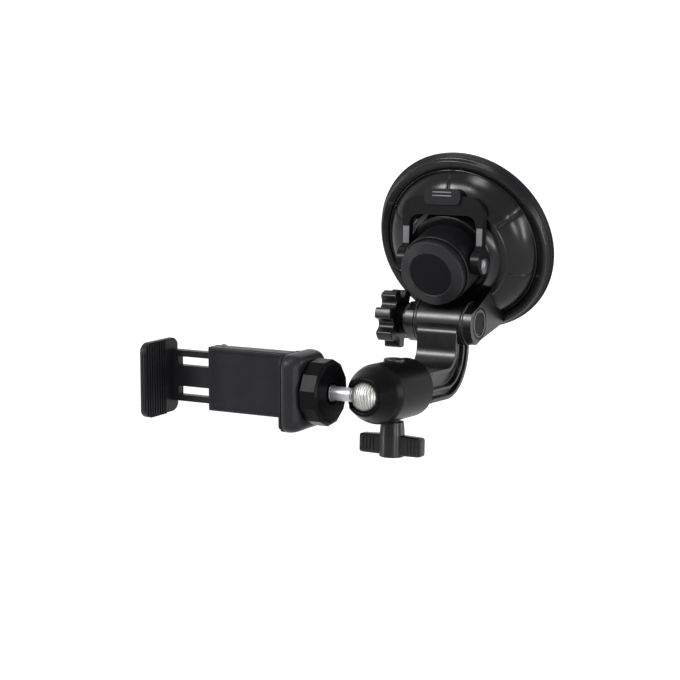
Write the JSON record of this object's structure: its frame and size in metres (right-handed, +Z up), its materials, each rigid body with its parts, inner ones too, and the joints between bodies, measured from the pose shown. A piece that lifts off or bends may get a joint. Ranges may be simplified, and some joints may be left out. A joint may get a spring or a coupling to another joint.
{
  "type": "suction cup phone holder",
  "caption": "Phone holder for a windscreen: a lever suction cup, a tilting arm, a ball joint with a locking screw and a sprung side clip.",
  "frame": {"origin": "middle of the suction cup's face on the glass", "axes": "+X along the cross pins from the clip towards the arm's free side, -Y towards the user, +Z up; the cup's axis lies in the YZ plane and leans 18 degrees below -Y"},
  "size_m": [0.1555, 0.1313, 0.135],
  "materials": {
    "cover_black": "satin black",
    "hub_black": "fine matte black",
    "arm_black": "satin black",
    "lever_black": "satin dark grey",
    "clip_grey": "fine matte dark grey",
    "cup_rubber": "smooth black",
    "pad_rubber": "ribbed black",
    "bright_steel": "polished",
    "plain_steel": "machined",
    "black_steel": "satin black",
    "insert_brass": "machined",
    "bearing_nylon": "smooth"
  },
  "bodies": {
    "base": {"suction_membrane": "cup_rubber", "cup_cover": "cover_black", "hub_tower": "hub_black", "hub_screws": "plain_steel", "release_spring": "plain_steel", "hub_cap": "hub_black", "hinge_fork": "arm_black", "fork_screws": "plain_steel", "hinge_nut": "black_steel", "thrust_washers": "black_steel"},
    "plunger": {"membrane_insert": "plain_steel", "plunger_stem": "bearing_nylon", "lever_pin": "bright_steel"},
    "lever": {"suction_lever": "lever_black", "lever_grip": "pad_rubber"},
    "arm": {"swivel_arm": "arm_black", "barrel_bushings": "bearing_nylon", "ball_housing": "arm_black", "housing_plug": "clip_grey", "grub_screw": "plain_steel"},
    "hinge_knob": {"hinge_knob": "hub_black", "hinge_bolt": "plain_steel"},
    "clamp_knob": {"clamp_knob": "hub_black", "clamp_screw": "plain_steel"},
    "seat": {"ball_seat": "bearing_nylon"},
    "stud": {"ball_stud": "bright_steel"},
    "lock_nut": {"lock_nut": "hub_black"},
    "clip": {"nut_washer": "pad_rubber", "clip_body": "clip_grey", "thread_insert": "insert_brass", "fixed_jaw_pad": "pad_rubber", "back_pad": "pad_rubber", "clip_cover": "clip_grey", "clip_screws": "plain_steel", "clip_springs": "plain_steel"},
    "jaw": {"sliding_jaw": "clip_grey", "sliding_jaw_pad": "pad_rubber"}
  },
  "joints": [
    {"name": "plunger_slide", "type": "slide", "parent": "base", "child": "plunger", "axis": [0, 0.9511, 0.309], "range_m": [0, 0.003], "deforming": ["release_spring"]},
    {"name": "lever_flip", "type": "hinge", "parent": "plunger", "child": "lever", "pos_m": [0, -0.02634, -0.00856], "axis": [1, 0, 0], "range_deg": [0, 95]},
    {"name": "arm_tilt", "type": "hinge", "parent": "base", "child": "arm", "pos_m": [0, -0.02109, -0.03671], "axis": [1, 0, 0], "range_deg": [-70, 50]},
    {"name": "hinge_knob_turn", "type": "hinge", "parent": "base", "child": "hinge_knob", "pos_m": [0, -0.02109, -0.03671], "axis": [1, 0, 0], "continuous": true},
    {"name": "clamp_knob_turn", "type": "hinge", "parent": "arm", "child": "clamp_knob", "pos_m": [0, -0.07662, -0.06141], "axis": [0, -0.0436, -0.999], "continuous": true},
    {"name": "ball_swing", "type": "hinge", "parent": "arm", "child": "seat", "pos_m": [0, -0.10139, -0.06033], "axis": [0, -0.999, 0.0436], "range_deg": [-8, 8]},
    {"name": "ball_tilt", "type": "hinge", "parent": "seat", "child": "stud", "pos_m": [0, -0.10139, -0.06033], "axis": [0, 0.0436, 0.999], "range_deg": [-6, 120]},
    {"name": "lock_nut_turn", "type": "hinge", "parent": "stud", "child": "lock_nut", "pos_m": [0, -0.10139, -0.06033], "axis": [1, 0, 0], "continuous": true},
    {"name": "clip_turn", "type": "hinge", "parent": "stud", "child": "clip", "pos_m": [0, -0.10139, -0.06033], "axis": [1, 0, 0], "continuous": true},
    {"name": "jaw_slide", "type": "slide", "parent": "clip", "child": "jaw", "axis": [-1, 0, 0], "range_m": [-0.0156, 0.0144], "deforming": ["clip_springs"]}
  ],
  "couplings": [
    {"joint": "plunger_slide", "follows": "lever_flip", "m_per_rad": 0.0018093}
  ]
}
